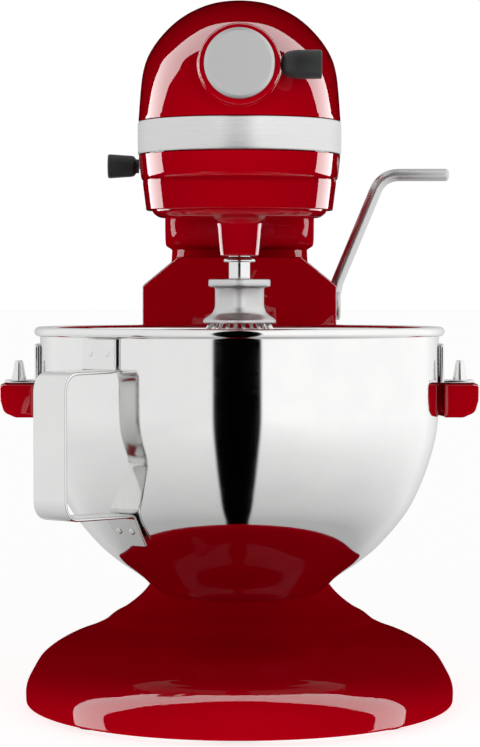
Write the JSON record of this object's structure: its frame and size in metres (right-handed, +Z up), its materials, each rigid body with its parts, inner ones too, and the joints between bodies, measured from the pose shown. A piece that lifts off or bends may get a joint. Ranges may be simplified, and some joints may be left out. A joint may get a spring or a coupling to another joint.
{
  "type": "stand mixer",
  "caption": "Bowl-lift stand mixer with planetary drive, wire whisk, lifting steel bowl, speed knob and attachment hub.",
  "frame": {"origin": "middle of the overall box, on the floor plane under the feet", "axes": "+X to the right seen from the front, +Y from the front to the rear, +Z up"},
  "size_m": [0.284, 0.3753, 0.419],
  "materials": {
    "red_paint": "gloss",
    "polished_steel": "polished",
    "gear_steel": "satin",
    "brushed_metal": "satin",
    "cast_aluminium": "satin",
    "bronze": "satin",
    "copper_winding": "satin",
    "black_plastic": "satin",
    "black_rubber": "matte",
    "white_nylon": "matte",
    "board": "satin"
  },
  "bodies": {
    "stand": {"pedestal": "red_paint", "base_plate": "brushed_metal", "foot_front_left": "black_rubber", "foot_front_right": "black_rubber", "foot_rear_left": "black_rubber", "foot_rear_right": "black_rubber", "cord_gland": "black_rubber", "lift_rail_left": "polished_steel", "lift_rail_right": "polished_steel", "gearcase_lower": "red_paint", "housing_upper": "red_paint", "rear_cover": "red_paint", "rear_cover_screw": "brushed_metal", "trim_band": "brushed_metal", "hub_socket": "cast_aluminium", "motor_field": "cast_aluminium", "brush_cap_left": "black_plastic", "brush_cap_right": "black_plastic", "brush_left": "bronze", "brush_right": "bronze", "control_board": "board", "ring_gear": "cast_aluminium", "gearbox_cover": "cast_aluminium", "bearing_planetary": "gear_steel", "bearing_upper": "bronze", "bearing_motor_rear": "bronze"},
    "planetary": {"planetary_carrier": "red_paint", "planetary_shaft": "gear_steel", "center_gear": "gear_steel", "crown_bevel_gear": "gear_steel"},
    "beater": {"beater_shaft": "polished_steel", "planet_pinion": "gear_steel", "shaft_pin": "polished_steel", "shaft_washer": "black_rubber", "whisk_hub": "cast_aluminium", "whisk_wires": "polished_steel"},
    "worm_wheel": {"intermediate_shaft": "gear_steel", "worm_gear": "bronze", "intermediate_pinion": "gear_steel"},
    "motor_rotor": {"armature": "copper_winding", "worm": "gear_steel", "fan": "white_nylon"},
    "hub_drive": {"hub_drive_shaft": "gear_steel", "hub_bevel_gear": "gear_steel"},
    "hub_cover": {"hub_cap": "cast_aluminium"},
    "hub_screw": {"hub_knob": "black_plastic", "hub_knob_stud": "brushed_metal"},
    "speed_control": {"speed_link": "brushed_metal", "speed_knob": "black_plastic"},
    "bowl_lift": {"lift_carriage": "red_paint", "bowl_pin_left": "polished_steel", "bowl_pin_right": "polished_steel", "bowl_latch": "polished_steel"},
    "lift_handle": {"lift_lever": "polished_steel", "lift_crank": "polished_steel"},
    "bowl": {"bowl_shell": "polished_steel", "bowl_handle": "polished_steel", "bowl_bracket_left": "polished_steel", "bowl_bracket_right": "polished_steel", "bowl_bracket_rear": "polished_steel"}
  },
  "joints": [
    {"name": "planetary_spin", "type": "hinge", "parent": "stand", "child": "planetary", "pos_m": [0, -0.056, 0.3], "axis": [0, 0, 1], "continuous": true},
    {"name": "beater_spin", "type": "hinge", "parent": "planetary", "child": "beater", "pos_m": [0, -0.082, 0.3], "axis": [0, 0, 1], "continuous": true},
    {"name": "worm_wheel_spin", "type": "hinge", "parent": "stand", "child": "worm_wheel", "pos_m": [0.026, -0.01565, 0.366], "axis": [0, 0, 1], "continuous": true},
    {"name": "motor_spin", "type": "hinge", "parent": "stand", "child": "motor_rotor", "pos_m": [0, 0, 0.366], "axis": [0, 1, 0], "continuous": true},
    {"name": "hub_drive_spin", "type": "hinge", "parent": "stand", "child": "hub_drive", "pos_m": [0, -0.1, 0.3767], "axis": [0, 1, 0], "continuous": true},
    {"name": "hub_cap_pull", "type": "slide", "parent": "stand", "child": "hub_cover", "axis": [0, -1, 0], "range_m": [0, 0.04]},
    {"name": "hub_knob_turn", "type": "hinge", "parent": "stand", "child": "hub_screw", "pos_m": [0.035, -0.136, 0.3767], "axis": [1, 0, 0], "range_deg": [0, 360]},
    {"name": "speed_slide", "type": "slide", "parent": "stand", "child": "speed_control", "axis": [0, -1, 0], "range_m": [0, 0.03]},
    {"name": "lift_slide", "type": "slide", "parent": "stand", "child": "bowl_lift", "axis": [0, 0, 1], "range_m": [-0.026, 0]},
    {"name": "lift_handle_turn", "type": "hinge", "parent": "stand", "child": "lift_handle", "pos_m": [0.06, 0.104, 0.24], "axis": [1, 0, 0], "range_deg": [-90, 0]},
    {"name": "bowl_lift_off", "type": "slide", "parent": "bowl_lift", "child": "bowl", "axis": [0, 0, 1], "range_m": [0, 0.0135]}
  ],
  "couplings": [
    {"joint": "beater_spin", "follows": "planetary_spin", "ratio": -3.2857},
    {"joint": "worm_wheel_spin", "follows": "planetary_spin", "ratio": -3},
    {"joint": "motor_spin", "follows": "planetary_spin", "ratio": -21},
    {"joint": "hub_drive_spin", "follows": "planetary_spin", "ratio": -1},
    {"joint": "lift_handle_turn", "follows": "lift_slide", "rad_per_m": 60.415}
  ]
}
